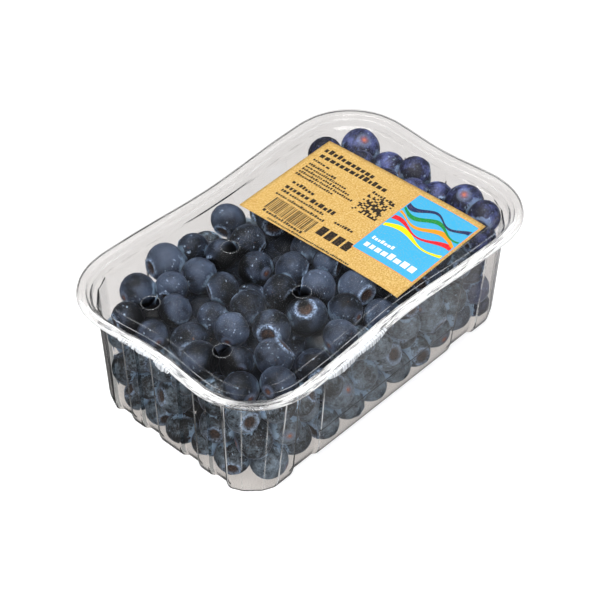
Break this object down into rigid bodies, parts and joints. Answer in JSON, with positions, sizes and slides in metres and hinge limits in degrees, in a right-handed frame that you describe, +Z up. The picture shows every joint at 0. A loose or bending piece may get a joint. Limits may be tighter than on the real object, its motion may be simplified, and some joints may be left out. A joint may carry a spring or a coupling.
{
  "type": "punnet of blueberries",
  "caption": "Sealed clear plastic punnet with fluted walls, heaped with blueberries under a perforated film with a paper label.",
  "frame": {"origin": "middle of the tray's underside, on the surface that it stands on", "axes": "+X along the long sides, towards the labelled end; +Y along the short sides; +Z up"},
  "size_m": [0.1796, 0.117, 0.0622],
  "materials": {
    "clear_plastic": "clear thermoformed sheet",
    "blueberry": "dark blue skin with a pale waxy bloom",
    "clear_film": "clear glossy film, a little misted",
    "kraft_paper": "brown kraft paper with a matt print"
  },
  "bodies": {
    "root": {"tray": "clear_plastic", "berries": "blueberry", "film": "clear_film", "label": "kraft_paper"}
  },
  "joints": []
}
